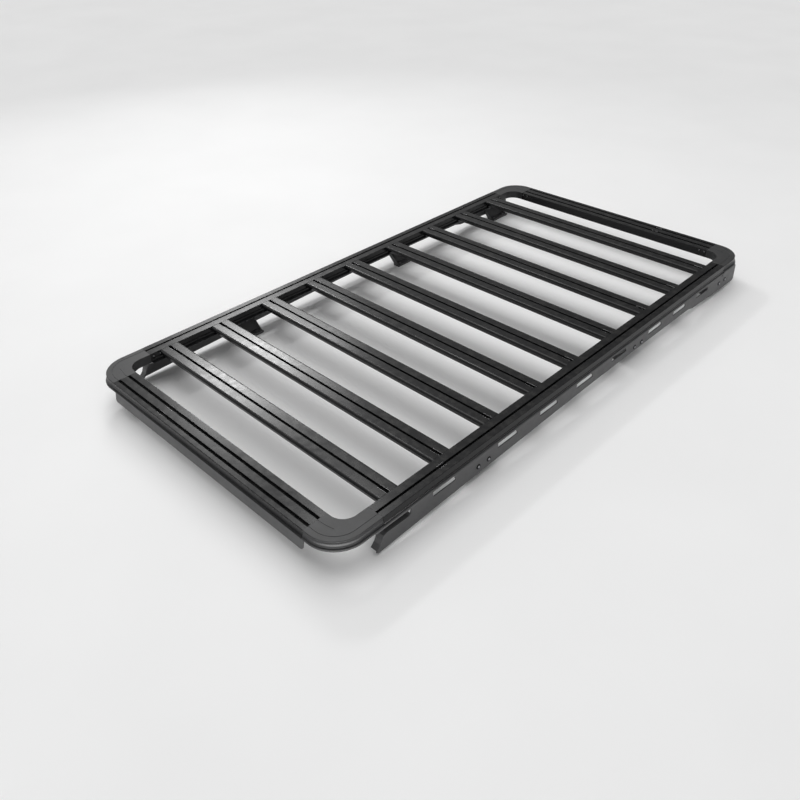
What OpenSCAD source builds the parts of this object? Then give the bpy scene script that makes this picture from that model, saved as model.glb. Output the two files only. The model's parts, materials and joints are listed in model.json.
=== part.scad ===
// Flat platform roof rack: a slatted aluminium deck on two cut-out side plates.
// +Z is up, -Y is the front, +X is the vehicle's left. The feet stand on z = 0.

/* [Deck] */
// Length of the deck from front edge to rear edge
deck_length = 2382; // [2100:1:2700]
// Width of the deck across both side rails
deck_width = 1247; // [1100:1:1450]
// Height of the deck's top face above the foot pads
deck_height = 125; // [122:1:160]
// Depth of the outer frame, top face to underside
frame_depth = 34; // [30:1:40]
// Wall thickness of every extrusion
wall = 2.5; // [2:0.1:3]

/* [Slots] */
// Width of a slot's mouth in the slats and side rails
slot_mouth = 9; // [8:0.5:10]
// Width of a slot's mouth in the end members
member_mouth = 11; // [9:0.5:12]
// Thickness of the lips beside a slot's mouth
slot_lip = 3; // [2.5:0.1:3.5]
// Width of the cavity under the lips
slot_cavity = 18; // [16:0.5:20]
// Depth of the cavity under the lips
slot_room = 7; // [6:0.5:8]
// Width of the wide entries through the lips, for bolt heads
entry_width = 14; // [12:0.5:16]
// Length of a slat's entry, one at each end
entry_length = 36; // [30:1:45]
// Length of the single entry in a rail's or end member's slot
notch_length = 30; // [20:1:40]

/* [Side rails] */
// Width of a side rail's top face
rail_width = 60; // [56:1:70]
// Slot's centre line, from the rail's inner edge
rail_slot_at = 33; // [30:1:35]
// Width of the shelf that carries the slats' ends
shelf_width = 4; // [3:0.5:6]
// Width of the flange along the rail's foot, inside the deck
rail_flange = 12; // [8:1:16]
// Radius of the bead along the rail's outer side
bead_radius = 3.5; // [3:0.1:4.5]
// Depth of the bead's middle below the deck
bead_depth = 23; // [21:0.5:25]
// How far the rail's foot stands in from its top edge
rail_undercut = 4; // [2:0.5:8]

/* [End members] */
// Width of the front and rear members' top face
member_width = 88; // [84:1:100]
// Inner slot's centre line, from the member's inner edge
inner_slot_at = 29; // [27:1:31]
// Outer slot's centre line, from the member's inner edge
outer_slot_at = 66; // [64:1:68]
// Radius of the cove along the outer side
cove_radius = 15; // [13:0.5:17]
// Radius of the rounded lip under the cove
skirt_radius = 5; // [4:0.5:6]
// How far the lip stands out past the top edge
skirt_reach = 7; // [5:0.5:9]

/* [Corner castings] */
// Length of a casting along the side rail
corner_length = 181; // [160:1:200]
// Length of a casting along the end member
corner_across = 123.5; // [115:0.5:150]
// Radius of the outer corner, at the top edge
corner_radius = 100; // [90:1:110]
// Radius of the inner corner
corner_inner_radius = 50; // [40:1:55]
// Radius of the groove that joins the slots round a casting
groove_radius = 79; // [70:1:82]
// Width of a casting's grooves
groove_width = 2; // [1:0.1:3]
// Depth of a casting's grooves
groove_depth = 1; // [0.5:0.1:2]

/* [Slats] */
// Width of a slat across its widest point
slat_width = 82; // [74:1:90]
// Depth of a slat
slat_depth = 20; // [18:0.5:22]
// Radius of a slat's upper edges
slat_round = 9; // [6:0.5:10]
// How much narrower the slat's foot is, each side
slat_taper = 2; // [1:0.5:3]

/* [Side plates] */
// Thickness of the plate
plate_thick = 4; // [3:0.5:5]
// How far the plate's face stands out past the rail's top edge
plate_out = 3.5; // [2:0.5:5]
// Outer radius of the bend at the plate's top
plate_bend = 7; // [6:0.5:9]
// Width of the flange under the rail
plate_flange = 42; // [36:1:48]
// Width of the fold turned in along the plate's front edge
plate_return = 22; // [15:1:35]
// Length of a cut-out window along its foot
window_length = 100; // [80:1:110]
// Height of a cut-out window
window_height = 19; // [15:0.5:20]
// Slope of a window's ends, along the rack
window_slope = 8; // [4:1:12]

/* [Feet] */
// Length of a foot bracket along the plate
foot_length = 120; // [100:1:150]
// Width of a foot bracket's base
foot_base = 33; // [28:1:45]
// How far the base stands in from the plate
foot_step = 30; // [20:1:40]
// Height of a foot bracket's upright, against the plate
foot_upright = 22; // [20:1:26]
// Height of the short leg between the base and the slope
foot_leg = 8; // [6:1:12]
// Thickness of a foot bracket
foot_thick = 5; // [4:0.5:6]
// Distance between the two holes in a foot's base
foot_hole_gap = 70; // [60:1:80]
// Diameter of the holes in a foot's base
foot_hole = 9; // [8:0.5:11]
// Distance of the holes' centres from the base's inner edge
foot_hole_in = 16; // [14:0.5:18]
// Thickness of the rubber pad under a foot
pad_thick = 3; // [2:0.5:5]

/* [Front deflector] */
// Thickness of the deflector's sheet
deflector_thick = 2.5; // [2:0.5:3]
// Height of the deflector's face
deflector_height = 40; // [30:1:50]
// How far the face's foot leans forward of its top
deflector_lean = 7; // [4:1:12]
// Width of the flange under the front member
deflector_flange = 40; // [30:1:50]
// Radius of the face's lower corners
deflector_round = 12; // [8:1:15]

/* [Hidden] */
$fn = 48;

// Places along the rack as shares of the deck's half length, front to rear:
// slats, side plate windows, feet, and the single slot entry of the left rail
slat_at = [-0.7809, -0.5953, -0.3963, -0.2015, -0.0185, 0.1889, 0.3888, 0.5844, 0.7809];
window_at = [-0.6398, -0.3879, -0.2024, -0.0252, 0.1629, 0.3778, 0.5374, 0.6986];
foot_at = [-0.487, 0.2687, 0.848];
rail_notch_at = -0.6247;
// Place of the end members' slot entries across the rear of the deck
member_notch_at = 230;
// Side plate's front edge: [distance behind the deck's front edge, depth below the deck]
plate_brow = [[288, 41], [285, 58], [277, 64], [189, 62], [177, 67], [169, 79],
    [163, 93], [149, 108], [148, 113], [153, 118]];
// Side plate's lower edge: [share of the deck's half length, depth below the deck]
plate_sweep = [[-0.672, 110], [-0.42, 101], [-0.168, 93], [0.042, 88], [0.336, 87],
    [0.613, 89], [0.6465, 99]];
// Side plate's rear end: [distance before the deck's rear edge, depth below the deck]
plate_tail = [[147, 111], [63, 112], [51, 104], [60, 41]];
// Small slot near the plate's rear end: distance before the deck's rear edge, and size
slit_back = 191;
slit_size = [12, 5];
// Radius and angle of a casting's shorter groove, which runs out of the inner slot
short_groove_radius = 225;
short_groove_angle = 16;

paint = [0.20, 0.20, 0.21];
cast_paint = [0.23, 0.23, 0.24];
plate_paint = [0.25, 0.25, 0.26];
rubber = [0.08, 0.08, 0.08];

half_length = deck_length / 2;
half_width = deck_width / 2;
rail_inner = half_width - rail_width;
member_inner = half_length - member_width;
rail_end = half_length - corner_length;
member_end = half_width - corner_across;
slot_depth = slot_lip + slot_room;
plate_outer = half_width + plate_out;
plate_inner = plate_outer - plate_thick;
plate_top = -frame_depth;
window_top = plate_top - plate_bend;
foot_bottom = pad_thick - deck_height;
foot_hole_x = plate_inner - foot_step - foot_base + foot_hole_in;
foot_knee = -foot_bottom - foot_leg - foot_step;
foot_top = foot_knee - foot_upright;
// The cove's and the lip's centres, measured out from the top edge
cove_centre = [cove_radius - 1, 6 - cove_radius];
lip_centre = [skirt_reach - skirt_radius, skirt_radius - frame_depth];
// Chamfers: along outer edges, along an extrusion's small edges, at a window's corners
edge_cut = 1.5;
small_cut = 1;
window_cut = 3;
// How far the webs in a foot bracket keep back from its ends and edges
web_back = 4;
// How far a piece reaches into its neighbour where the two are one
lap = 1;

// Points along an arc from angle a0 to angle a1
function arc(centre, r, a0, a1, steps = 8) =
    [for (i = [0:steps]) centre + r * [cos(a0 + (a1 - a0) * i / steps), sin(a0 + (a1 - a0) * i / steps)]];

// Outer side of an end member or corner, from the top edge down, measured out from that edge
function skirt_points(inset = 0) = concat(
    [[-edge_cut - inset, -inset]],
    inset > 0 ? [] : [[0, -edge_cut]],
    arc(cove_centre, cove_radius + inset, 160, 228),
    arc(lip_centre, skirt_radius - inset, 105, -90));

// Moves a list of points sideways
function shifted(points, by) = [for (p = points) p + by];

// Runs a profile in Y and Z along X, centred
module along_x(length) {
    rotate([90, 0, 90])
        linear_extrude(length, center = true)
            children();
}

// Runs a profile in X and Z along Y, centred
module along_y(length) {
    rotate([90, 0, 0])
        linear_extrude(length, center = true)
            children();
}

// Everything below is drawn with the deck's top face at z = 0 and lifted here
module lifted() {
    translate([0, 0, deck_height])
        children();
}

// Section of the slot that takes a square-shouldered bolt head
module slot_section(mouth = slot_mouth) {
    translate([-mouth / 2, -slot_depth])
        square([mouth, slot_depth + lap]);
    translate([-slot_cavity / 2, -slot_depth])
        square([slot_cavity, slot_room]);
}

// Wide entry through a slot's lips, the slot running in X
module slot_entry(length) {
    translate([0, 0, (lap - slot_lip) / 2])
        cube([length, entry_width, slot_lip + lap], center = true);
}

// Metal that stays round a slot inside a hollow extrusion
module slot_wall_section() {
    translate([-slot_cavity / 2 - wall, -slot_depth - wall])
        square([slot_cavity + 2 * wall, slot_depth + wall]);
}

// Web below a slot, down to the extrusion's foot
module web_section(depth) {
    translate([-wall / 2, -depth])
        square([wall, depth]);
}

// End member's outline, inner edge at 0 and growing outwards
module member_outline(inset = 0) {
    polygon(concat(
        [[small_cut + inset, -inset]],
        shifted(skirt_points(inset), [member_width, 0]),
        [[inset, inset - frame_depth], [inset, -small_cut - inset]]));
}

module member_section() {
    difference() {
        member_outline();
        difference() {
            member_outline(wall);
            for (x = [inner_slot_at, outer_slot_at])
                translate([x, 0]) {
                    slot_wall_section();
                    web_section(frame_depth);
                }
        }
        for (x = [inner_slot_at, outer_slot_at])
            translate([x, 0])
                slot_section(member_mouth);
    }
}

module end_member() {
    color(paint)
        lifted()
            translate([0, member_inner, 0])
                difference() {
                    along_x(2 * member_end)
                        member_section();
                    for (y = [inner_slot_at, outer_slot_at])
                        translate([member_notch_at, y, 0])
                            slot_entry(notch_length);
                }
}

// Shelf for the slats' ends and flange along the rail's foot, both inside the deck
function rail_shelf() = [[-rail_flange, -frame_depth], [-rail_flange, wall - frame_depth],
    [-shelf_width, wall - frame_depth], [-shelf_width, -slat_depth], [0, -slat_depth]];

// Side rail's outline, inner edge at 0 and growing outwards
module rail_outline(inset = 0) {
    polygon(concat(
        [[small_cut + inset, -inset], [rail_width - small_cut - inset, -inset],
            [rail_width - inset, -small_cut - inset]],
        arc([rail_width, -bead_depth], bead_radius - inset, 60, -60),
        [[rail_width - rail_undercut - inset, inset - frame_depth]],
        inset > 0 ? [[inset, inset - frame_depth]] : rail_shelf(),
        [[inset, -small_cut - inset]]));
}

module rail_section() {
    difference() {
        rail_outline();
        difference() {
            rail_outline(wall);
            translate([rail_slot_at, 0]) {
                slot_wall_section();
                web_section(frame_depth);
            }
        }
        translate([rail_slot_at, 0])
            slot_section();
    }
}

module side_rail() {
    color(paint)
        lifted()
            difference() {
                translate([rail_inner, 0, 0])
                    along_y(2 * rail_end)
                        rail_section();
                translate([rail_inner + rail_slot_at, rail_notch_at * half_length, 0])
                    rotate([0, 0, 90])
                        slot_entry(notch_length);
            }
}

// Corner casting's plan, without its moulded outer side
module corner_plan(margin) {
    outer_centre = [half_width - corner_radius, half_length - corner_radius];
    inner_centre = [rail_inner - corner_inner_radius, member_inner - corner_inner_radius];
    polygon(concat(
        [[member_end, half_length - margin]],
        arc(outer_centre, corner_radius - margin, 90, 0, 24),
        [[half_width - margin, rail_end], [rail_inner, rail_end]],
        arc(inner_centre, corner_inner_radius, 0, 90, 16),
        [[member_end, member_inner]]));
}

// Moulded outer side of a casting as a section, with its top edge at 0
module skirt_section(margin) {
    polygon(concat(
        [[-margin, 0]],
        skirt_points(),
        [[-margin, -frame_depth]]));
}

// Casting without its grooves, at the left rear
module corner_body(centre) {
    margin = 20;
    translate([0, 0, -frame_depth])
        linear_extrude(frame_depth)
            corner_plan(margin - lap);
    translate(centre)
        rotate_extrude(angle = 90, $fn = 96)
            translate([corner_radius, 0])
                skirt_section(margin);
    translate([half_width, (rail_end + centre.y) / 2, 0])
        along_y(centre.y - rail_end)
            skirt_section(margin);
    translate([(member_end + centre.x) / 2, half_length, 0])
        along_x(centre.x - member_end)
            skirt_section(margin);
}

// Grooves cut in a casting's top face, one joining the slots and one running out of the inner slot
module corner_grooves(centre) {
    groove = [groove_width, 2 * groove_depth];
    side_length = centre.y - rail_end + lap;
    end_length = centre.x - member_end + lap;
    translate(centre)
        rotate_extrude(angle = 90, $fn = 96)
            translate([groove_radius, -groove_depth])
                square(groove);
    translate([centre.x + groove_radius, centre.y - side_length, -groove_depth])
        cube([groove.x, side_length, groove.y]);
    translate([centre.x - end_length, centre.y + groove_radius, -groove_depth])
        cube([end_length, groove.x, groove.y]);
    translate([member_end, member_inner + inner_slot_at + member_mouth / 2 - short_groove_radius, 0])
        rotate([0, 0, 90 + lap - short_groove_angle])
            rotate_extrude(angle = short_groove_angle, $fn = 96)
                translate([short_groove_radius, -groove_depth])
                    square(groove);
}

// Cast corner at the left rear
module corner() {
    centre = [half_width - corner_radius, half_length - corner_radius, 0];
    color(cast_paint)
        lifted()
            difference() {
                corner_body(centre);
                corner_grooves(centre);
            }
}

// Slat's outline, centred on its slot
module slat_outline(inset = 0) {
    half = slat_width / 2;
    foot = half - slat_taper;
    side = concat(
        arc([half - slat_round, -slat_round], slat_round - inset, 90, 10),
        [[foot - inset, edge_cut - slat_depth + inset], [foot - edge_cut - inset, inset - slat_depth]]);
    polygon(concat(side, [for (i = [len(side) - 1:-1:0]) [-side[i].x, side[i].y]]));
}

module slat_section() {
    difference() {
        slat_outline();
        difference() {
            slat_outline(wall);
            slot_wall_section();
            web_section(slat_depth);
        }
        slot_section();
    }
}

module slat(i) {
    color(paint)
        lifted()
            translate([0, slat_at[i] * half_length, 0])
                difference() {
                    along_x(2 * rail_inner)
                        slat_section();
                    for (side = [-1, 1])
                        translate([side * (rail_inner - entry_length / 2), 0, 0])
                            slot_entry(entry_length + lap);
                }
}

// Window with a foot of full length and a rear end that slopes in towards its top
module window_shape() {
    half = window_length / 2;
    polygon([[window_cut - half, -window_height], [half - window_cut, -window_height],
        [half, window_cut - window_height], [half - window_slope, 0], [-half, 0],
        [-half, window_cut - window_height]]);
}

// Plate's front edge as points of its side view
function brow_points() = [for (p = plate_brow) [p.x - half_length, -p.y]];

// Side view of the plate's web
module web_shape() {
    polygon(concat(
        brow_points(),
        [for (p = plate_sweep) [p.x * half_length, -p.y]],
        [for (p = plate_tail) [half_length - p.x, -p.y]]));
}

// Side view of the fold along the plate's front edge, from the cut down to the nose
module fold_shape() {
    brow = brow_points();
    back = [0.8, -0.9] * plate_thick;
    polygon(concat(
        [for (i = [1:7]) brow[i]],
        [for (i = [7:-1:1]) brow[i] + back]));
}

// Section of the flange and the bend along the plate's top
module plate_head_section() {
    translate([plate_outer - plate_flange, plate_top - plate_thick])
        square([plate_flange - plate_bend, plate_thick]);
    translate([plate_outer - plate_bend, plate_top - plate_bend])
        intersection() {
            difference() {
                circle(plate_bend);
                circle(plate_bend - plate_thick);
            }
            square(plate_bend);
        }
}

module side_plate() {
    front = plate_brow[8].x - half_length;
    rear = half_length - plate_tail[3].x;
    color(plate_paint)
        lifted() {
            translate([0, (front + rear) / 2, 0])
                along_y(rear - front)
                    plate_head_section();
            translate([plate_inner, 0, 0])
                rotate([90, 0, 90])
                    linear_extrude(plate_thick)
                        difference() {
                            web_shape();
                            for (y = window_at)
                                translate([y * half_length, window_top])
                                    window_shape();
                            translate([half_length - slit_back, window_top - slit_size.y])
                                square(slit_size);
                        }
            translate([plate_inner - plate_return, 0, 0])
                rotate([90, 0, 90])
                    linear_extrude(plate_return + lap)
                        fold_shape();
        }
}

// Section of a foot bracket: upright, slope, short leg and base
module foot_section() {
    turn = foot_thick * tan(22.5);
    leg = plate_inner - foot_step;
    polygon([[plate_inner, -foot_top], [plate_inner, -foot_knee], [leg, -foot_knee - foot_step],
        [leg, foot_bottom], [leg - foot_base, foot_bottom], [leg - foot_base, foot_bottom + foot_thick],
        [leg - foot_thick, foot_bottom + foot_thick], [leg - foot_thick, turn - foot_knee - foot_step],
        [plate_inner - foot_thick, turn - foot_knee], [plate_inner - foot_thick, -foot_top]]);
}

// Web that closes a foot bracket's end, from its base to its upright
module foot_web_section() {
    leg = plate_inner - foot_step;
    polygon([[leg - foot_base + web_back, foot_bottom + lap], [plate_inner - lap, -foot_top - web_back],
        [plate_inner - lap, -foot_knee], [leg - lap, -foot_knee - foot_step], [leg - lap, foot_bottom + lap]]);
}

module foot(i) {
    half = foot_length / 2;
    color(plate_paint)
        lifted()
            translate([0, foot_at[i] * half_length, 0]) {
                difference() {
                    along_y(foot_length)
                        foot_section();
                    for (side = [-1, 1])
                        translate([foot_hole_x, side * foot_hole_gap / 2, foot_bottom - lap])
                            cylinder(h = foot_thick + 2 * lap, d = foot_hole);
                }
                for (side = [-1, 1])
                    translate([0, side * (half - foot_thick / 2 - web_back / 2), 0])
                        along_y(foot_thick)
                            foot_web_section();
            }
}

module foot_pads() {
    middle = plate_inner - foot_step - foot_base / 2;
    color(rubber)
        for (side = [-1, 1])
            for (y = foot_at * half_length)
                difference() {
                    translate([side * middle, y, pad_thick / 2])
                        cube([foot_base, foot_length, pad_thick], center = true);
                    for (end = [-1, 1])
                        translate([side * foot_hole_x, y + end * foot_hole_gap / 2, -lap])
                            cylinder(h = pad_thick + 2 * lap, d = foot_hole);
                }
}

// Section of the deflector in Y and Z: flange, bend and leaning face
module deflector_section() {
    t = deflector_thick;
    foot = -half_length - skirt_reach;
    front = foot + deflector_lean;
    top = -frame_depth;
    polygon([[front + deflector_flange, top], [front + small_cut, top], [front, top - small_cut],
        [foot, top - deflector_height], [foot + t, top - deflector_height],
        [front + t, top - t], [front + deflector_flange, top - t]]);
}

module front_deflector() {
    front = -half_length - skirt_reach;
    drop = frame_depth + deflector_height;
    corner_at = member_end - deflector_round;
    color(plate_paint)
        lifted()
            difference() {
                along_x(2 * member_end)
                    deflector_section();
                for (side = [-1, 1])
                    translate([side * corner_at, front, deflector_round - drop])
                        rotate([90, 0, 0])
                            linear_extrude(3 * deflector_lean, center = true)
                                difference() {
                                    translate([side > 0 ? 0 : -deflector_round - lap, -deflector_round - lap])
                                        square(deflector_round + lap);
                                    circle(deflector_round);
                                }
            }
}

rotate([0, 0, 180]) end_member();  // front_member
end_member();  // rear_member
side_rail();  // side_rail_left
rotate([0, 0, 180]) side_rail();  // side_rail_right
mirror([0, 1, 0]) corner();  // corner_front_left
mirror([1, 0, 0]) mirror([0, 1, 0]) corner();  // corner_front_right
corner();  // corner_rear_left
mirror([1, 0, 0]) corner();  // corner_rear_right
slat(0);  // slat_1
slat(1);  // slat_2
slat(2);  // slat_3
slat(3);  // slat_4
slat(4);  // slat_5
slat(5);  // slat_6
slat(6);  // slat_7
slat(7);  // slat_8
slat(8);  // slat_9
side_plate();  // side_plate_left
mirror([1, 0, 0]) side_plate();  // side_plate_right
foot(0);  // foot_front_left
foot(1);  // foot_middle_left
foot(2);  // foot_rear_left
mirror([1, 0, 0]) foot(0);  // foot_front_right
mirror([1, 0, 0]) foot(1);  // foot_middle_right
mirror([1, 0, 0]) foot(2);  // foot_rear_right
foot_pads();
front_deflector();
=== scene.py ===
"""Looks of a slatted platform roof rack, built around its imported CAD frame.

The CAD nodes keep their places and shapes and get their powder coat here. The fasteners,
milled slot edges and other small work are new pieces that ride on the rack.
"""

import json
import logging
import math
from dataclasses import dataclass, field
from enum import Enum

import bmesh
import bpy
from mathutils import Matrix, Vector

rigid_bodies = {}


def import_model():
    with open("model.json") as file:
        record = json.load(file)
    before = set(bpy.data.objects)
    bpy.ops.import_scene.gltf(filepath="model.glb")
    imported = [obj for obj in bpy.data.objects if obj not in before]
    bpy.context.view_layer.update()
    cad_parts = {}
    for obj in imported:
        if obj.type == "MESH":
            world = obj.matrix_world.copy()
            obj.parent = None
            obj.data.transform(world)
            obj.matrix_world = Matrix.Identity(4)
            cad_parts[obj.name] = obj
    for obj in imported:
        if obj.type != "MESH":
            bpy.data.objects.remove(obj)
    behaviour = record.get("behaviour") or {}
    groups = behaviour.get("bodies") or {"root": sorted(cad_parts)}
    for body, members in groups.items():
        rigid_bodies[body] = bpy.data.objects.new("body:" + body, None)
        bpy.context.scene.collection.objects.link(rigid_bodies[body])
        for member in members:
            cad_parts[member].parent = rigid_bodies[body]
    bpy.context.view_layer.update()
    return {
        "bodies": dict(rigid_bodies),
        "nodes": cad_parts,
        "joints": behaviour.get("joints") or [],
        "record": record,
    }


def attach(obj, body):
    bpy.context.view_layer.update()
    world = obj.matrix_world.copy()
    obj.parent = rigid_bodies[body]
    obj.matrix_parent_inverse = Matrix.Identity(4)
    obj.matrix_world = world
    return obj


LOG = logging.getLogger("roof_rack")

ROOT = "root"
MM = 0.001
DECK_TOP = 125 * MM
TOUCH = 0.001 * MM
SMOOTH_ANGLE = math.radians(35)
FULL_TURN = 2 * math.pi

Colour = tuple[float, float, float]


class Slot(Enum):
    """Material slots that the record names."""

    EXTRUSION = "extrusion_paint"
    CASTING = "casting_paint"
    PLATE = "plate_paint"
    RUBBER = "pad_rubber"


class Side(Enum):
    """The two long sides of the rack, as signs of X."""

    LEFT = 1
    RIGHT = -1


# ---------------------------------------------------------------- finishes


class NodeSheet:
    """The node tree of a material or world, with short calls to fill it."""

    def __init__(self, owner: bpy.types.Material | bpy.types.World) -> None:
        """Starts an empty tree.

        Args:
            owner: Material or world that holds it.
        """
        owner.use_nodes = True
        self.owner = owner
        self.tree = owner.node_tree
        self.tree.nodes.clear()

    def add(self, kind: str, inputs: dict | None = None, **settings) -> bpy.types.Node:
        """Adds a node.

        Args:
            kind: Type name without its ShaderNode prefix.
            inputs: Input sockets by name or number, each with a value or an output socket.
            settings: Attributes of the node.

        Returns:
            The new node.
        """
        node = self.tree.nodes.new("ShaderNode" + kind)
        for key, value in settings.items():
            setattr(node, key, value)
        for key, value in (inputs or {}).items():
            if isinstance(value, bpy.types.NodeSocket):
                self.tree.links.new(value, node.inputs[key])
            else:
                node.inputs[key].default_value = value
        return node

    def noise(self, where: bpy.types.NodeSocket, scale: float, detail: float = 2.0,
              roughness: float = 0.5) -> bpy.types.NodeSocket:
        """Adds noise on object coordinates.

        Args:
            where: Output socket with the coordinates.
            scale: Pattern repeats a metre.
            detail: Octaves of finer noise.
            roughness: Strength of those octaves.

        Returns:
            The noise's value socket, about 0.3 to 0.7.
        """
        node = self.add("TexNoise", {"Vector": where, "Scale": scale, "Detail": detail,
                                     "Roughness": roughness})
        return node.outputs["Fac"]

    def ramp(self, value: bpy.types.NodeSocket, low: float, high: float, start: float,
             end: float, easing: str = "LINEAR") -> bpy.types.NodeSocket:
        """Maps a value's range to another one, clamped.

        Args:
            value: Socket to map.
            low: Value that gives start.
            high: Value that gives end.
            start: Result at low.
            end: Result at high.
            easing: LINEAR, or SMOOTHSTEP for soft ends.

        Returns:
            The mapped socket.
        """
        node = self.add("MapRange", {"Value": value, "From Min": low, "From Max": high,
                                     "To Min": start, "To Max": end},
                        interpolation_type=easing)
        return node.outputs["Result"]

    def maths(self, operation: str, *values: object) -> bpy.types.NodeSocket:
        """Adds a Math node.

        Args:
            operation: Name of the operation.
            values: One or two numbers or sockets.

        Returns:
            Its result.
        """
        return self.add("Math", dict(enumerate(values)), operation=operation).outputs[0]

    def blend(self, share: bpy.types.NodeSocket, a: object, b: object) -> bpy.types.NodeSocket:
        """Mixes two colours.

        Args:
            share: How much of b.
            a: First colour or socket.
            b: Second colour or socket.

        Returns:
            The mixed colour's socket.
        """
        node = self.add("Mix", {0: share, 6: rgba(a), 7: rgba(b)}, data_type="RGBA")
        return node.outputs[2]

    def finish(self, sockets: dict) -> bpy.types.Material:
        """Adds a material's surface shader and output.

        Args:
            sockets: Inputs of the Principled shader.

        Returns:
            The finished material.
        """
        shader = self.add("BsdfPrincipled", sockets)
        self.add("OutputMaterial", {"Surface": shader.outputs[0]})
        return self.owner


def rgba(colour: object) -> object:
    """Adds the alpha to a plain colour and passes a socket on.

    Args:
        colour: Three numbers or a socket.

    Returns:
        Four numbers or that socket.
    """
    return colour if isinstance(colour, bpy.types.NodeSocket) else (*colour, 1.0)


@dataclass(frozen=True)
class PowderCoat:
    """Satin powder coat with orange peel, slow unevenness, dust, and paler edges that are partly
    abrasion and partly a painted highlight.

    Attributes:
        name: Name of the material.
        colour: Colour of the coat.
        rough: Lowest and highest roughness.
        grain: Repeats of the orange peel a metre.
        depth: Depth of the orange peel.
        edge_abrasion_and_highlight: How far the edges go towards their paler colour, partly
            abrasion and partly painted highlight.
        gloss: Strength of the mirror part of the light, 0.5 for plain lacquer.
        abraded_and_highlit_edge_colour: Paler colour of the edges, partly abrasion and partly
            painted highlight.
        dust: Colour of the dust on level faces.
        dust_share: How much of the dust lies on them at most.
        edge_radius: Width of the paler edges.
        patches: Repeats of the slow unevenness a metre.
        smears: Repeats of the smears a metre.
        unevenness: How far the patches change the colour.
    """

    name: str
    colour: Colour
    rough: tuple[float, float] = (0.36, 0.46)
    grain: float = 900.0
    depth: float = 0.06 * MM
    edge_abrasion_and_highlight: float = 0.35
    gloss: float = 0.5
    # Paler edge colour: partly abrasion, partly a painted highlight along the edges.
    abraded_and_highlit_edge_colour: Colour = (0.16, 0.16, 0.165)
    dust: Colour = (0.12, 0.115, 0.105)
    dust_share: float = 0.10
    edge_radius: float = 1.1 * MM
    patches: float = 5.0
    smears: float = 38.0
    unevenness: float = 0.10

    def build(self) -> bpy.types.Material:
        """Builds the material.

        Returns:
            The finished material.
        """
        sheet = NodeSheet(bpy.data.materials.new(self.name))
        where = sheet.add("TexCoord").outputs["Object"]
        peel = sheet.noise(where, self.grain, 3.0)
        patches = sheet.noise(where, self.patches, 4.0)
        smears = sheet.noise(where, self.smears, 5.0, 0.6)
        bump = sheet.add("Bump", {"Height": peel, "Strength": 0.5, "Distance": self.depth})
        # Edges found with the Bevel node are made paler: partly abrasion, partly a painted
        # highlight.
        rounded = sheet.add("Bevel", {"Radius": self.edge_radius}, samples=4)
        plain = sheet.add("NewGeometry").outputs["Normal"]
        dot = sheet.add("VectorMath", {0: rounded.outputs[0], 1: plain}, operation="DOT_PRODUCT")
        edge = sheet.ramp(dot.outputs["Value"], 0.995, 0.86, 0.0, 1.0)
        abraded_and_highlit_edges = sheet.maths("MULTIPLY", edge, sheet.ramp(smears, 0.40, 0.62, 0.25, 1.0))
        up = sheet.add("SeparateXYZ", {0: plain}).outputs[2]
        settled = sheet.maths("MULTIPLY", sheet.ramp(up, 0.6, 1.0, 0.0, self.dust_share),
                              sheet.ramp(smears, 0.46, 0.66, 0.0, 1.0))
        tone = sheet.ramp(patches, 0.35, 0.65, 1 - self.unevenness, 1 + self.unevenness)
        coat = sheet.add("VectorMath", {0: self.colour, 3: tone}, operation="SCALE").outputs[0]
        dusty = sheet.blend(settled, coat, self.dust)
        # Blends the paler edges into the coat colour: partly abrasion, partly painted highlight.
        colour = sheet.blend(sheet.maths("MULTIPLY", abraded_and_highlit_edges, self.edge_abrasion_and_highlight), dusty, self.abraded_and_highlit_edge_colour)
        rough = sheet.ramp(smears, 0.34, 0.66, *self.rough)
        return sheet.finish({"Base Color": colour, "Roughness": rough, "IOR": 1.5,
                             "Specular IOR Level": self.gloss, "Normal": bump.outputs[0]})


@dataclass(frozen=True)
class BareMetal:
    """Cut or plated metal with fine tool marks.

    Attributes:
        name: Name of the material.
        colour: Colour of the metal.
        rough: Lowest and highest roughness.
        marks: Repeats of the tool marks a metre, along X, Y and Z.
        depth: Depth of the tool marks.
        stains: Repeats of the stains a metre.
        stained: Brightness of a stain as a share of the metal's.
    """

    name: str
    colour: Colour
    rough: tuple[float, float] = (0.28, 0.42)
    marks: Colour = (1400.0, 1400.0, 300.0)
    depth: float = 0.03 * MM
    stains: float = 120.0
    stained: float = 0.72

    def build(self) -> bpy.types.Material:
        """Builds the material.

        Returns:
            The finished material.
        """
        sheet = NodeSheet(bpy.data.materials.new(self.name))
        where = sheet.add("TexCoord").outputs["Object"]
        stretched = sheet.add("Mapping", {"Vector": where, "Scale": self.marks}).outputs[0]
        lines = sheet.noise(stretched, 1.0, 3.0)
        stains = sheet.noise(where, self.stains, 4.0)
        bump = sheet.add("Bump", {"Height": lines, "Strength": 0.4, "Distance": self.depth})
        dark = tuple(self.stained * c for c in self.colour)
        colour = sheet.blend(sheet.ramp(stains, 0.35, 0.65, 0.0, 1.0), self.colour, dark)
        rough = sheet.ramp(lines, 0.3, 0.7, *self.rough)
        return sheet.finish({"Base Color": colour, "Roughness": rough, "Metallic": 1.0,
                             "Normal": bump.outputs[0]})


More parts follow.
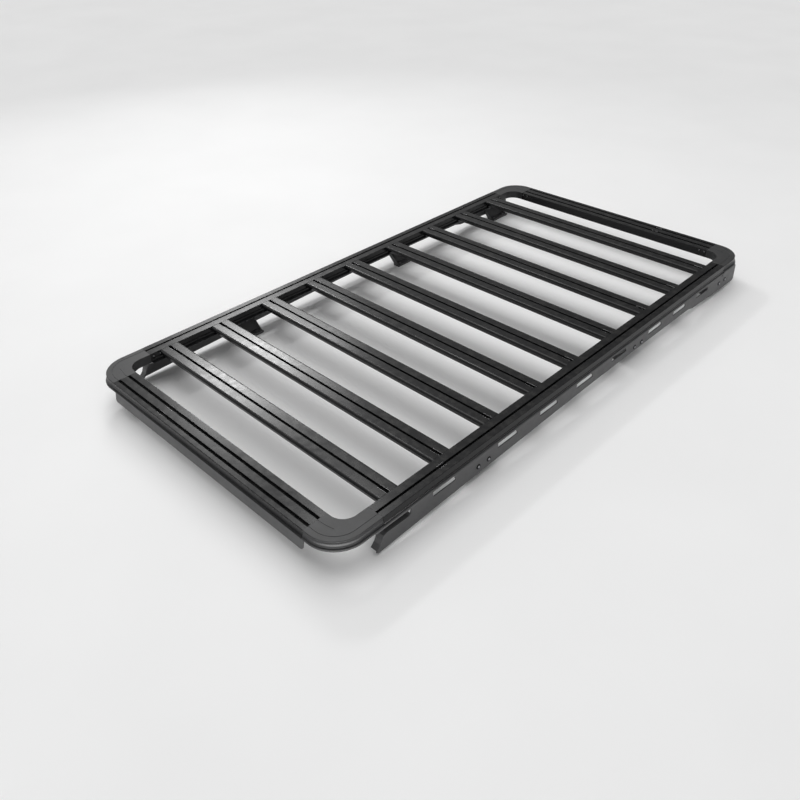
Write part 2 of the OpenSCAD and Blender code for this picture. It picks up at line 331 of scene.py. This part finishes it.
@dataclass(frozen=True)
class Rubber:
    """Matt black rubber with a fine moulded grain.

    Attributes:
        name: Name of the material.
        colour: Colour of the rubber.
        grain: Repeats of the moulded grain a metre.
        bloom: Repeats of the chalky bloom a metre.
        bloomed: Brightness of the bloom as a share of the rubber's.
    """

    name: str
    colour: Colour
    grain: float = 1500.0
    bloom: float = 60.0
    bloomed: float = 2.2

    def build(self) -> bpy.types.Material:
        """Builds the material.

        Returns:
            The finished material.
        """
        sheet = NodeSheet(bpy.data.materials.new(self.name))
        where = sheet.add("TexCoord").outputs["Object"]
        grain = sheet.noise(where, self.grain, 2.0)
        chalk = sheet.noise(where, self.bloom, 4.0)
        bump = sheet.add("Bump", {"Height": grain, "Strength": 0.6, "Distance": 0.1 * MM})
        pale = tuple(self.bloomed * c for c in self.colour)
        colour = sheet.blend(sheet.ramp(chalk, 0.45, 0.7, 0.0, 1.0), self.colour, pale)
        rough = sheet.ramp(chalk, 0.3, 0.7, 0.72, 0.9)
        return sheet.finish({"Base Color": colour, "Roughness": rough,
                             "Normal": bump.outputs[0]})


class Finishes:
    """Every finish on the rack, built once."""

    def __init__(self) -> None:
        """Builds the materials."""
        self.extrusion = PowderCoat("powder_coat_extrusion", (0.0065, 0.0067, 0.0072),
                                    rough=(0.20, 0.26), depth=0.018 * MM, gloss=0.26).build()
        self.casting = PowderCoat("powder_coat_casting", (0.020, 0.0205, 0.0215),
                                  rough=(0.38, 0.48), grain=600.0, depth=0.09 * MM,
                                  gloss=0.39).build()
        # Paler than the other coats: partly the sheet parts' own coat, partly a painted
        # reflection of pale surroundings.
        self.sheet = PowderCoat("powder_coat_sheet_and_painted_reflection", (0.070, 0.0705, 0.072),
                                rough=(0.40, 0.50)).build()
        self.rubber = Rubber("pad_rubber", (0.012, 0.012, 0.012)).build()
        self.bolt = BareMetal("black_zinc", (0.16, 0.16, 0.165), rough=(0.30, 0.44)).build()
        self.black = BareMetal("black_oxide", (0.014, 0.014, 0.015), rough=(0.46, 0.58)).build()
        self.zinc = BareMetal("bright_zinc", (0.50, 0.50, 0.52), rough=(0.24, 0.36)).build()
        self.cut = BareMetal("milled_aluminium", (0.86, 0.86, 0.87),
                             rough=(0.46, 0.60)).build()
        self.by_slot = {Slot.EXTRUSION: self.extrusion, Slot.CASTING: self.casting,
                        Slot.PLATE: self.sheet, Slot.RUBBER: self.rubber}


# ---------------------------------------------------------------- workshop


class Workshop:
    """Turns bmeshes into pieces of the rack."""

    def __init__(self) -> None:
        """Starts with no pieces."""
        self.made: list[bpy.types.Object] = []

    def piece(self, name: str, mesh: bmesh.types.BMesh, material: bpy.types.Material) -> None:
        """Makes a piece that rides on the rack, with its place in its mesh.

        Args:
            name: Name of the piece.
            mesh: Its shape, which is freed.
            material: Its finish.
        """
        bmesh.ops.recalc_face_normals(mesh, faces=mesh.faces)
        for face in mesh.faces:
            face.smooth = True
        for edge in mesh.edges:
            edge.smooth = edge.calc_face_angle(0.0) < SMOOTH_ANGLE
        data = bpy.data.meshes.new(name)
        mesh.to_mesh(data)
        mesh.free()
        data.materials.append(material)
        obj = bpy.data.objects.new(name, data)
        bpy.context.scene.collection.objects.link(obj)
        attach(obj, ROOT)
        self.made.append(obj)
        LOG.info("piece %s: %d faces", name, len(data.polygons))


def join_shape(target: bmesh.types.BMesh, shape: bmesh.types.BMesh, place: Matrix) -> None:
    """Copies a shape into a bmesh at a place.

    Args:
        target: The bmesh that gets the copy.
        shape: The shape, left as it is.
        place: Where the copy goes.
    """
    data = bpy.data.meshes.new("copy")
    shape.to_mesh(data)
    data.transform(place)
    target.from_mesh(data)
    bpy.data.meshes.remove(data)


def facing(point: Vector, normal: Vector, turn: float = 0.0) -> Matrix:
    """Places a shape whose axis is +Z so that it stands on a face.

    Args:
        point: Where its origin goes.
        normal: Where its axis points.
        turn: Turn about its own axis.

    Returns:
        The placing matrix.
    """
    spin = Matrix.Rotation(turn, 4, "Z")
    return Matrix.Translation(point) @ normal.to_track_quat("Z", "Y").to_matrix().to_4x4() @ spin


def turned(profile: list[tuple[float, float]], steps: int) -> bmesh.types.BMesh:
    """Turns a half profile about Z.

    Args:
        profile: Points as radius and height.
        steps: Sides of the turned shape.

    Returns:
        The turned shape, open where the profile ends off the axis.
    """
    mesh = bmesh.new()
    points = [mesh.verts.new((r, 0.0, z)) for r, z in profile]
    edges = [mesh.edges.new(pair) for pair in zip(points, points[1:])]
    bmesh.ops.spin(mesh, geom=points + edges, axis=(0, 0, 1), cent=(0, 0, 0), angle=FULL_TURN,
                   steps=steps, use_merge=True)
    bmesh.ops.remove_doubles(mesh, verts=mesh.verts, dist=TOUCH)
    return mesh


def edges_at(mesh: bmesh.types.BMesh, height: float) -> list[bmesh.types.BMEdge]:
    """Finds the open edges at a height.

    Args:
        mesh: The shape.
        height: Their Z.

    Returns:
        The boundary edges whose both ends are at that height.
    """
    return [e for e in mesh.edges
            if e.is_boundary and all(abs(v.co.z - height) < TOUCH for v in e.verts)]


@dataclass
class Washer:
    """Flat washer with eased rims.

    Attributes:
        radius: Its outer radius.
        thick: Its thickness.
        steps: Sides of its rim.
    """

    radius: float = 9.4 * MM
    thick: float = 1.2 * MM
    steps: int = 24

    def build(self) -> bmesh.types.BMesh:
        """Builds the washer, standing on Z = 0.

        Returns:
            The shape.
        """
        lip = 0.4 * self.thick
        return turned([(0.0, 0.0), (self.radius, 0.0), (self.radius, self.thick - lip),
                       (self.radius - lip, self.thick), (0.0, self.thick)], self.steps)


@dataclass
class ButtonScrew:
    """Round head of a screw with a hexagon socket.

    Attributes:
        head: Radius of the head.
        height: Height of the head.
        socket: Radius of the socket's corners.
        base: Height of the face that it seats on.
        steps: Sides of its rim.
    """

    head: float = 4.1 * MM
    height: float = 3.0 * MM
    socket: float = 1.7 * MM
    base: float = 1.2 * MM
    steps: int = 24

    def build(self) -> bmesh.types.BMesh:
        """Builds the head.

        Returns:
            The shape.
        """
        top = self.base + self.height
        floor = top - 0.6 * self.height
        mesh = turned([(0.0, self.base), (self.head * 0.97, self.base),
                       (self.head, self.base + 0.22 * self.height),
                       (self.head * 0.95, self.base + 0.52 * self.height),
                       (self.head * 0.80, self.base + 0.82 * self.height),
                       (0.52 * self.head, top)], self.steps)
        rim = edges_at(mesh, top)
        ring = bmesh.ops.create_circle(mesh, segments=6, radius=self.socket,
                                       matrix=Matrix.Translation((0, 0, top)))["verts"]
        hexagon = list({e for v in ring for e in v.link_edges})
        bmesh.ops.bridge_loops(mesh, edges=rim + hexagon)
        sunk = bmesh.ops.extrude_edge_only(mesh, edges=hexagon)["geom"]
        walls = [v for v in sunk if isinstance(v, bmesh.types.BMVert)]
        bmesh.ops.translate(mesh, verts=walls, vec=(0, 0, floor - top))
        bmesh.ops.holes_fill(mesh, edges=edges_at(mesh, floor), sides=0)
        return mesh


@dataclass
class HexBolt:
    """Hexagon-headed bolt on a washer, with a stub of its shank below.

    Attributes:
        flats: Half of the distance across the head's flats.
        height: Height of the head.
        washer: Radius of the washer.
        washer_thick: Its thickness.
        shank: Radius of the shank.
        reach: How far the shank goes below the washer.
        steps: Sides of the washer's rim.
    """

    flats: float = 6.5 * MM
    height: float = 5.3 * MM
    washer: float = 9.0 * MM
    washer_thick: float = 1.6 * MM
    shank: float = 4.0 * MM
    reach: float = 4.0 * MM
    steps: int = 24

    def build(self) -> bmesh.types.BMesh:
        """Builds the bolt with its washer, standing on Z = 0.

        Returns:
            The shape.
        """
        base = self.washer_thick
        lip = 0.3 * base
        mesh = turned([(0.0, -self.reach), (self.shank, -self.reach), (self.shank, 0.0),
                       (self.washer, 0.0), (self.washer, base - lip),
                       (self.washer - lip, base), (0.0, base)], self.steps)
        head = bmesh.new()
        corner = self.flats / math.cos(math.pi / 6)
        bmesh.ops.create_cone(head, cap_ends=True, segments=6, radius1=corner, radius2=corner,
                              depth=self.height,
                              matrix=Matrix.Translation((0, 0, base + self.height / 2)))
        crown = [e for e in head.edges if all(v.co.z > base + TOUCH for v in e.verts)]
        bmesh.ops.bevel(head, geom=crown, offset=0.14 * self.flats, segments=2, profile=0.5,
                        affect="EDGES", material=-1)
        join_shape(mesh, head, Matrix.Identity(4))
        head.free()
        return mesh


# ---------------------------------------------------------------- the rack


@dataclass
class CoatedFrame:
    """The CAD nodes in their coats, with their sharp edges eased.

    Attributes:
        slots: Slot of each group of nodes, by the start of their names.
        ease: Radius of the eased edges.
        angle: Smallest angle of an edge that is eased.
        merge: Distance within which the loose triangles' corners are joined.
    """

    slots: dict[str, Slot] = field(default_factory=lambda: {
        "front_member": Slot.EXTRUSION, "rear_member": Slot.EXTRUSION,
        "side_rail": Slot.EXTRUSION, "slat": Slot.EXTRUSION, "corner": Slot.CASTING,
        "side_plate": Slot.PLATE, "foot_pads": Slot.RUBBER, "foot": Slot.PLATE,
        "front_deflector": Slot.PLATE})
    ease: float = 0.45 * MM
    angle: float = math.radians(32)
    merge: float = 0.01 * MM

    def slot_of(self, node: str) -> Slot:
        """Finds a node's slot.

        Args:
            node: Name of the node.

        Returns:
            Its material slot.
        """
        starts = [s for s in self.slots if node.startswith(s)]
        return self.slots[max(starts, key=len)]

    def dress(self, nodes: dict[str, bpy.types.Object], finishes: Finishes) -> None:
        """Gives every node its finish.

        Args:
            nodes: The CAD nodes by name.
            finishes: The rack's finishes.
        """
        for name, node in nodes.items():
            slot = self.slot_of(name)
            node.data.materials.clear()
            node.data.materials.append(finishes.by_slot[slot])
            weld = node.modifiers.new("weld", "WELD")
            weld.merge_threshold = self.merge
            ease = node.modifiers.new("ease", "BEVEL")
            ease.width = self.ease
            ease.segments = 2
            ease.limit_method = "ANGLE"
            ease.angle_limit = self.angle
            ease.use_clamp_overlap = True
            LOG.info("node %s: %s", name, slot.value)


@dataclass
class PlateBolts:
    """Pairs of screws through the side plates into the feet, with nuts inside.

    Attributes:
        face: The plates' outer face, from the middle of the rack.
        inner: Inner face of the feet's uprights.
        pairs: Places of each pair along the rack, and its depth below the deck.
    """

    face: float = 627 * MM
    inner: float = 618 * MM
    pairs: tuple[tuple[float, float, float], ...] = (
        (-607 * MM, -557 * MM, 75.5 * MM), (304 * MM, 354 * MM, 70 * MM),
        (990 * MM, 1042 * MM, 72.5 * MM))

    def build(self, workshop: Workshop, finishes: Finishes) -> None:
        """Builds both sides' screws.

        Args:
            workshop: Makes the pieces.
            finishes: The rack's finishes.
        """
        screw, washer = ButtonScrew().build(), Washer().build()
        nut = HexBolt(reach=0.5 * MM, washer=8 * MM).build()
        for side in Side:
            heads, washers, nuts = bmesh.new(), bmesh.new(), bmesh.new()
            out = Vector((side.value, 0, 0))
            for i, (first, second, depth) in enumerate(self.pairs):
                for j, y in enumerate((first, second)):
                    turn = 0.5 * (i + 2 * j)
                    face = Vector((side.value * self.face, y, DECK_TOP - depth))
                    inner = Vector((side.value * self.inner, y, DECK_TOP - depth))
                    join_shape(heads, screw, facing(face, out, turn))
                    join_shape(washers, washer, facing(face, out))
                    join_shape(nuts, nut, facing(inner, -out, turn))
            name = side.name.lower()
            workshop.piece(f"plate_bolts_{name}", heads, finishes.zinc)
            workshop.piece(f"plate_washers_{name}", washers, finishes.black)
            workshop.piece(f"plate_nuts_{name}", nuts, finishes.bolt)
        for shape in (screw, washer, nut):
            shape.free()


@dataclass
class FootBolts:
    """Roof bolts through the feet's bases.

    Attributes:
        across: Their distance from the middle of the rack.
        feet: Centres of the feet along the rack.
        gap: Distance between the two bolts of a foot.
        seat: Height of the bases' top face.
    """

    across: float = 576 * MM
    feet: tuple[float, ...] = (-580 * MM, 320 * MM, 1010 * MM)
    gap: float = 70 * MM
    seat: float = 8 * MM

    def build(self, workshop: Workshop, finishes: Finishes) -> None:
        """Builds the twelve bolts.

        Args:
            workshop: Makes the pieces.
            finishes: The rack's finishes.
        """
        bolt = HexBolt(reach=7 * MM).build()
        mesh = bmesh.new()
        for side in Side:
            for i, foot in enumerate(self.feet):
                for end in (-1, 1):
                    at = Vector((side.value * self.across, foot + end * self.gap / 2, self.seat))
                    join_shape(mesh, bolt, facing(at, Vector((0, 0, 1)), 0.3 * i + 0.2 * end))
        bolt.free()
        workshop.piece("foot_bolts", mesh, finishes.bolt)


@dataclass
class CornerScrews:
    """Screws through the inner walls that hold the corner castings' tongues.

    Attributes:
        rail_wall: Inner face of the side rails.
        rail_at: Places along the rails, from the middle.
        rail_depth: Depth below the deck in the rails.
        member_wall: Inner face of the end members.
        member_at: Places along the members, from the middle.
        member_depth: Depth below the deck in the end members.
    """

    rail_wall: float = 563.5 * MM
    rail_at: tuple[float, ...] = (970 * MM, 998 * MM)
    rail_depth: float = 11.0 * MM
    member_wall: float = 1103 * MM
    member_at: tuple[float, ...] = (467 * MM, 490 * MM)
    member_depth: float = 9.5 * MM

    def build(self, workshop: Workshop, finishes: Finishes) -> None:
        """Builds the sixteen screws.

        Args:
            workshop: Makes the pieces.
            finishes: The rack's finishes.
        """
        screw = ButtonScrew(head=4.2 * MM, height=2.4 * MM, socket=1.8 * MM, base=0.8 * MM,
                            steps=20).build()
        washer = Washer(radius=5.6 * MM, thick=0.8 * MM, steps=20).build()
        heads, washers = bmesh.new(), bmesh.new()
        for side in Side:
            for end in (-1, 1):
                places = [(Vector((side.value * self.rail_wall, end * y,
                                   DECK_TOP - self.rail_depth)), Vector((-side.value, 0, 0)))
                          for y in self.rail_at]
                places += [(Vector((side.value * x, end * self.member_wall,
                                    DECK_TOP - self.member_depth)), Vector((0, -end, 0)))
                           for x in self.member_at]
                for i, (at, normal) in enumerate(places):
                    join_shape(heads, screw, facing(at, normal, 0.4 * i))
                    join_shape(washers, washer, facing(at, normal))
        screw.free()
        washer.free()
        workshop.piece("corner_screws", heads, finishes.bolt)
        workshop.piece("corner_washers", washers, finishes.black)


@dataclass
class SlatFixings:
    """Bolts and sleeves that hold the slats' ends down on the rails' flanges.

    Attributes:
        slats: Centres of the slats along the rack.
        across: Distance of the bolts from the middle of the rack.
        spread: Distance of each bolt from its slat's centre.
        flange_top: Depth of the flange's upper face below the deck.
        flange_foot: Depth of its lower face.
        slat_foot: Depth of the slats' underside.
    """

    slats: tuple[float, ...] = tuple(
        y * MM for y in (-930, -709, -472, -240, -22, 225, 463, 696, 930))
    across: float = 555 * MM
    spread: float = 22 * MM
    flange_top: float = 31.5 * MM
    flange_foot: float = 34 * MM
    slat_foot: float = 20 * MM

    def build(self, workshop: Workshop, finishes: Finishes) -> None:
        """Builds the bolts, and the sleeves between flange and slat.

        Args:
            workshop: Makes the pieces.
            finishes: The rack's finishes.
        """
        tall = self.flange_top - self.slat_foot
        bolt = HexBolt(flats=4.0 * MM, height=3.6 * MM, washer=5.6 * MM, washer_thick=1.0 * MM,
                       shank=2.6 * MM, reach=2.4 * MM, steps=16).build()
        sleeve = turned([(0.0, 0.0), (3.4 * MM, 0.0), (4.0 * MM, 0.6 * MM),
                         (4.0 * MM, tall - 0.6 * MM), (3.4 * MM, tall), (0.0, tall)], 16)
        heads, sleeves = bmesh.new(), bmesh.new()
        for side in Side:
            for y in self.slats:
                for end in (-1, 1):
                    x, place = side.value * self.across, y + end * self.spread
                    below = Vector((x, place, DECK_TOP - self.flange_foot))
                    join_shape(heads, bolt, facing(below, Vector((0, 0, -1)), 7 * place))
                    join_shape(sleeves, sleeve,
                               Matrix.Translation((x, place, DECK_TOP - self.flange_top)))
        bolt.free()
        sleeve.free()
        workshop.piece("slat_bolts", heads, finishes.bolt)
        workshop.piece("slat_sleeves", sleeves, finishes.bolt)


@dataclass
class MilledEntries:
    """Bare cut faces of the wide entries that are milled through the slots' lips.

    Attributes:
        slats: Centres of the slats along the rack.
        slat_end: Outer end of a slat's slot, at the rail.
        slat_length: Length of the entry at each end of a slat.
        rail: Middle of the left rail's entry; the right rail's lies opposite.
        member: Middle of the rear member's inner entry; the front member's lies opposite.
        gap: Distance between the two slots of an end member.
        length: Length of the rails' and end members' entries.
        width: Width of every entry.
        mouth: Width of the slots' mouths in slats and rails.
        member_mouth: Width of the slots' mouths in the end members.
        lip: Thickness of the lips that were cut.
        skin: Thickness of the bright skin.
        drop: How far the skin starts below the deck.
        rise: How far it ends above the lips' underside.
    """

    slats: tuple[float, ...] = SlatFixings.slats
    slat_end: float = 563.2 * MM
    slat_length: float = 36.2 * MM
    rail: tuple[float, float] = (596.5 * MM, -744 * MM)
    member: tuple[float, float] = (230 * MM, 1132 * MM)
    gap: float = 37 * MM
    length: float = 30 * MM
    width: float = 14 * MM
    mouth: float = 9 * MM
    member_mouth: float = 11 * MM
    lip: float = 3 * MM
    skin: float = 0.2 * MM
    drop: float = 0.35 * MM
    rise: float = 0.1 * MM

    def strip(self, mesh: bmesh.types.BMesh, points: list[Vector]) -> None:
        """Adds a bright skin along a path, as high as the lips are thick.

        Args:
            mesh: The bmesh that gets it.
            points: Path of the skin in X and Y.
        """
        top = DECK_TOP - self.drop
        verts = [mesh.verts.new((p.x, p.y, top)) for p in points]
        edges = [mesh.edges.new(pair) for pair in zip(verts, verts[1:])]
        made = bmesh.ops.extrude_edge_only(mesh, edges=edges)["geom"]
        low = [g for g in made if isinstance(g, bmesh.types.BMVert)]
        bmesh.ops.translate(mesh, verts=low, vec=(0, 0, self.drop + self.rise - self.lip))
        faces = [g for g in made if isinstance(g, bmesh.types.BMFace)]
        bmesh.ops.solidify(mesh, geom=faces, thickness=self.skin)

    def entry(self, mesh: bmesh.types.BMesh, start: Vector, run: Vector, mouth: float,
              closed: bool) -> None:
        """Lines both lips of one entry.

        Args:
            mesh: The bmesh that gets the skins.
            start: Middle of the entry's first end.
            run: From there to the middle of its other end.
            mouth: Width of the slot's mouth.
            closed: Whether the lips go on beyond the other end.
        """
        along = run.normalized()
        across = Vector((-along.y, along.x))
        near, far = start + self.skin * along, start + run - self.skin * along
        for lip in (-1, 1):
            wide = lip * (self.width / 2 - self.skin) * across
            narrow = lip * mouth / 2 * across
            path = [near + narrow, near + wide, far + wide]
            self.strip(mesh, path + [far + narrow] if closed else path)

    def build(self, workshop: Workshop, finishes: Finishes) -> None:
        """Builds the skins of every entry.

        Args:
            workshop: Makes the pieces.
            finishes: The rack's finishes.
        """
        slats, frame = bmesh.new(), bmesh.new()
        for sign in (-1, 1):
            for slat in self.slats:
                run = Vector((sign * self.slat_length, 0))
                end = Vector((sign * self.slat_end, slat))
                self.entry(slats, end - run, run, self.mouth, closed=False)
            run = Vector((0, self.length))
            self.entry(frame, sign * Vector(self.rail) - run / 2, run, self.mouth, closed=True)
            run = Vector((self.length, 0))
            for step in (0.0, self.gap):
                middle = Vector(self.member) + Vector((0, step))
                self.entry(frame, sign * middle - run / 2, run, self.member_mouth, closed=True)
        workshop.piece("milled_slat_entries", slats, finishes.cut)
        workshop.piece("milled_frame_entries", frame, finishes.cut)


# ---------------------------------------------------------------- the studio


@dataclass(frozen=True)
class Glow:
    """Soft brighter part of the studio's surroundings.

    Attributes:
        towards: Direction of its middle.
        start: Cosine from that direction where it starts.
        full: Cosine where it is at its brightest.
        gain: How much it adds to the even light.
    """

    towards: Colour
    start: float
    full: float
    gain: float


@dataclass(frozen=True)
class Softbox:
    """Area lamp.

    Attributes:
        name: Name of the lamp.
        place: Its centre.
        target: The point that it faces.
        size: Its width and height.
        turn: Turn about its own axis in degrees.
        power: Its power in watts.
        spread: Angle of its beam in degrees, which keeps the floor below it even.
        shine_only: Whether it shows in the coats' gloss and adds no other light.
    """

    name: str
    place: Colour
    target: Colour
    size: tuple[float, float]
    turn: float
    power: float
    spread: float = 100.0
    shine_only: bool = False


@dataclass
class Studio:
    """Pale floor, soft lamps and the camera at the photograph's angle.

    Attributes:
        eye: Place of the camera.
        azimuth: Its direction round the rack in degrees, 0 in front and 90 on the left.
        elevation: Its height above the horizon in degrees.
        roll: Its roll in degrees.
        lens: Its focal length on the 36 mm sensor.
        floor_radius: Radius of the floor.
        floor_colour: Colour of the floor.
        base: Strength of the even light all round.
        glows: Brighter parts of the surroundings.
        softboxes: The lamps.
        wall_top: Heights of direction between which the white wall that metal mirrors fades.
        sun: Strength of the broad light from above.
        sun_width: Its width in degrees.
        sun_from: Its direction.
    """

    eye: Colour = (1.70239, -2.01624, 1.60831)
    azimuth: float = 44.9692
    elevation: float = 36.4755
    roll: float = -1.25653
    lens: float = 34.4236
    floor_radius: float = 30.0
    floor_colour: Colour = (0.88, 0.88, 0.88)
    base: float = 0.22
    glows: tuple[Glow, ...] = (Glow((-0.80, 0.10, 0.55), 0.60, 1.00, 0.75),
                               Glow((0.60, -0.70, 0.40), 0.00, 0.90, 0.35),
                               Glow((0.64, -0.74, 0.22), 0.86, 1.00, 1.60))
    softboxes: tuple[Softbox, ...] = (
        Softbox("sheen", (-4.54, 1.75, 3.39), (-0.25, -0.84, 0.12), (1.10, 0.34), 22.0, 16.6),
        Softbox("sheen_far", (-4.29, 2.58, 3.39), (-0.17, -0.58, 0.12), (0.70, 0.60), 0.0, 4.8),
        Softbox("corner", (-2.10, 1.05, 3.76), (0.55, -1.10, 0.12), (0.50, 0.50), 0.0, 3.5),
        Softbox("near_card", (1.55, -1.96, 0.02), (1.55, -1.96, 1.00), (2.00, 2.00), 40.0, 230.0,
                180.0, shine_only=True))
    wall_top: tuple[float, float] = (0.14, 0.33)
    sun: float = 1.3
    sun_width: float = 60.0
    sun_from: Colour = (-0.15, 0.10, 1.0)

    def camera(self) -> None:
        """Places the camera."""
        a, e, r = (math.radians(v) for v in (self.azimuth, self.elevation, self.roll))
        back = Vector((math.sin(a) * math.cos(e), -math.cos(a) * math.cos(e), math.sin(e)))
        right = Vector((0, 0, 1)).cross(back).normalized()
        up = back.cross(right)
        right, up = (math.cos(r) * right + math.sin(r) * up,
                     math.cos(r) * up - math.sin(r) * right)
        data = bpy.data.cameras.new("camera")
        data.lens, data.sensor_width = self.lens, 36.0
        data.clip_start, data.clip_end = 0.05, 200.0
        camera = bpy.data.objects.new("camera", data)
        turn = Matrix((right, up, back)).transposed().to_4x4()
        camera.matrix_world = Matrix.Translation(self.eye) @ turn
        bpy.context.scene.collection.objects.link(camera)
        bpy.context.scene.camera = camera

    def lamp(self, softbox: Softbox) -> None:
        """Adds an area lamp.

        Args:
            softbox: Its name, place, size and power.
        """
        data = bpy.data.lights.new(softbox.name, "AREA")
        data.shape = "RECTANGLE"
        data.size, data.size_y = softbox.size
        data.energy = softbox.power
        data.spread = math.radians(softbox.spread)
        lamp = bpy.data.objects.new(softbox.name, data)
        lamp.visible_camera = False
        lamp.visible_diffuse = not softbox.shine_only
        place = Vector(softbox.place)
        lamp.matrix_world = facing(place, place - Vector(softbox.target),
                                   math.radians(softbox.turn))
        bpy.context.scene.collection.objects.link(lamp)

    def overhead(self) -> None:
        """Adds the broad even light from above."""
        data = bpy.data.lights.new("overhead", "SUN")
        data.energy = self.sun
        data.angle = math.radians(self.sun_width)
        lamp = bpy.data.objects.new("overhead", data)
        lamp.matrix_world = Vector(self.sun_from).to_track_quat("Z", "Y").to_matrix().to_4x4()
        bpy.context.scene.collection.objects.link(lamp)

    def floor(self) -> None:
        """Adds the plain pale floor."""
        mesh = bmesh.new()
        bmesh.ops.create_circle(mesh, cap_ends=True, segments=64, radius=self.floor_radius)
        data = bpy.data.meshes.new("floor")
        mesh.to_mesh(data)
        mesh.free()
        sheet = NodeSheet(bpy.data.materials.new("pale_floor"))
        where = sheet.add("TexCoord").outputs["Object"]
        cloud = sheet.noise(where, 1.5, 3.0)
        dim = tuple(0.97 * c for c in self.floor_colour)
        colour = sheet.blend(sheet.ramp(cloud, 0.3, 0.7, 0.0, 1.0), self.floor_colour, dim)
        data.materials.append(sheet.finish({"Base Color": colour, "Roughness": 0.9}))
        obj = bpy.data.objects.new("floor", data)
        bpy.context.scene.collection.objects.link(obj)

    def sky(self) -> None:
        """Sets the even light all round and the white background that metal mirrors too."""
        sheet = NodeSheet(bpy.data.worlds.new("studio"))
        bpy.context.scene.world = sheet.owner
        towards = sheet.add("TexCoord").outputs["Generated"]
        level = self.base
        for glow in self.glows:
            dot = sheet.add("VectorMath", {0: towards, 1: Vector(glow.towards).normalized()},
                            operation="DOT_PRODUCT")
            lobe = sheet.ramp(dot.outputs["Value"], glow.start, glow.full, 0.0, glow.gain,
                              "SMOOTHSTEP")
            level = sheet.maths("ADD", level, lobe)
        height = sheet.add("SeparateXYZ", {0: towards}).outputs[2]
        low, high = self.wall_top
        wall = sheet.ramp(height, high, low, 0.0, 1.0, "SMOOTHSTEP")
        ray = sheet.add("LightPath").outputs
        mirrored = sheet.maths("MULTIPLY", ray["Is Glossy Ray"], wall)
        seen = sheet.maths("MAXIMUM", ray["Is Camera Ray"], mirrored)
        strength = sheet.add("Mix", {0: seen, 2: level, 3: 1.0}).outputs[0]
        light = sheet.add("Background", {"Strength": strength})
        sheet.add("OutputWorld", {"Surface": light.outputs[0]})

    def build(self) -> None:
        """Sets up floor, light and camera."""
        bpy.context.scene.view_settings.view_transform = "Standard"
        self.floor()
        self.sky()
        self.overhead()
        for softbox in self.softboxes:
            self.lamp(softbox)
        self.camera()


def main() -> None:
    """Loads the frame, dresses it and sets up the studio."""
    logging.basicConfig(level=logging.INFO, format="%(name)s: %(message)s")
    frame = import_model()
    finishes, workshop = Finishes(), Workshop()
    CoatedFrame().dress(frame["nodes"], finishes)
    for assembly in (PlateBolts(), FootBolts(), CornerScrews(), SlatFixings(), MilledEntries()):
        assembly.build(workshop, finishes)
    Studio().build()
    bpy.context.view_layer.update()
    LOG.info("%d pieces made", len(workshop.made))


if __name__ == "__main__":
    main()
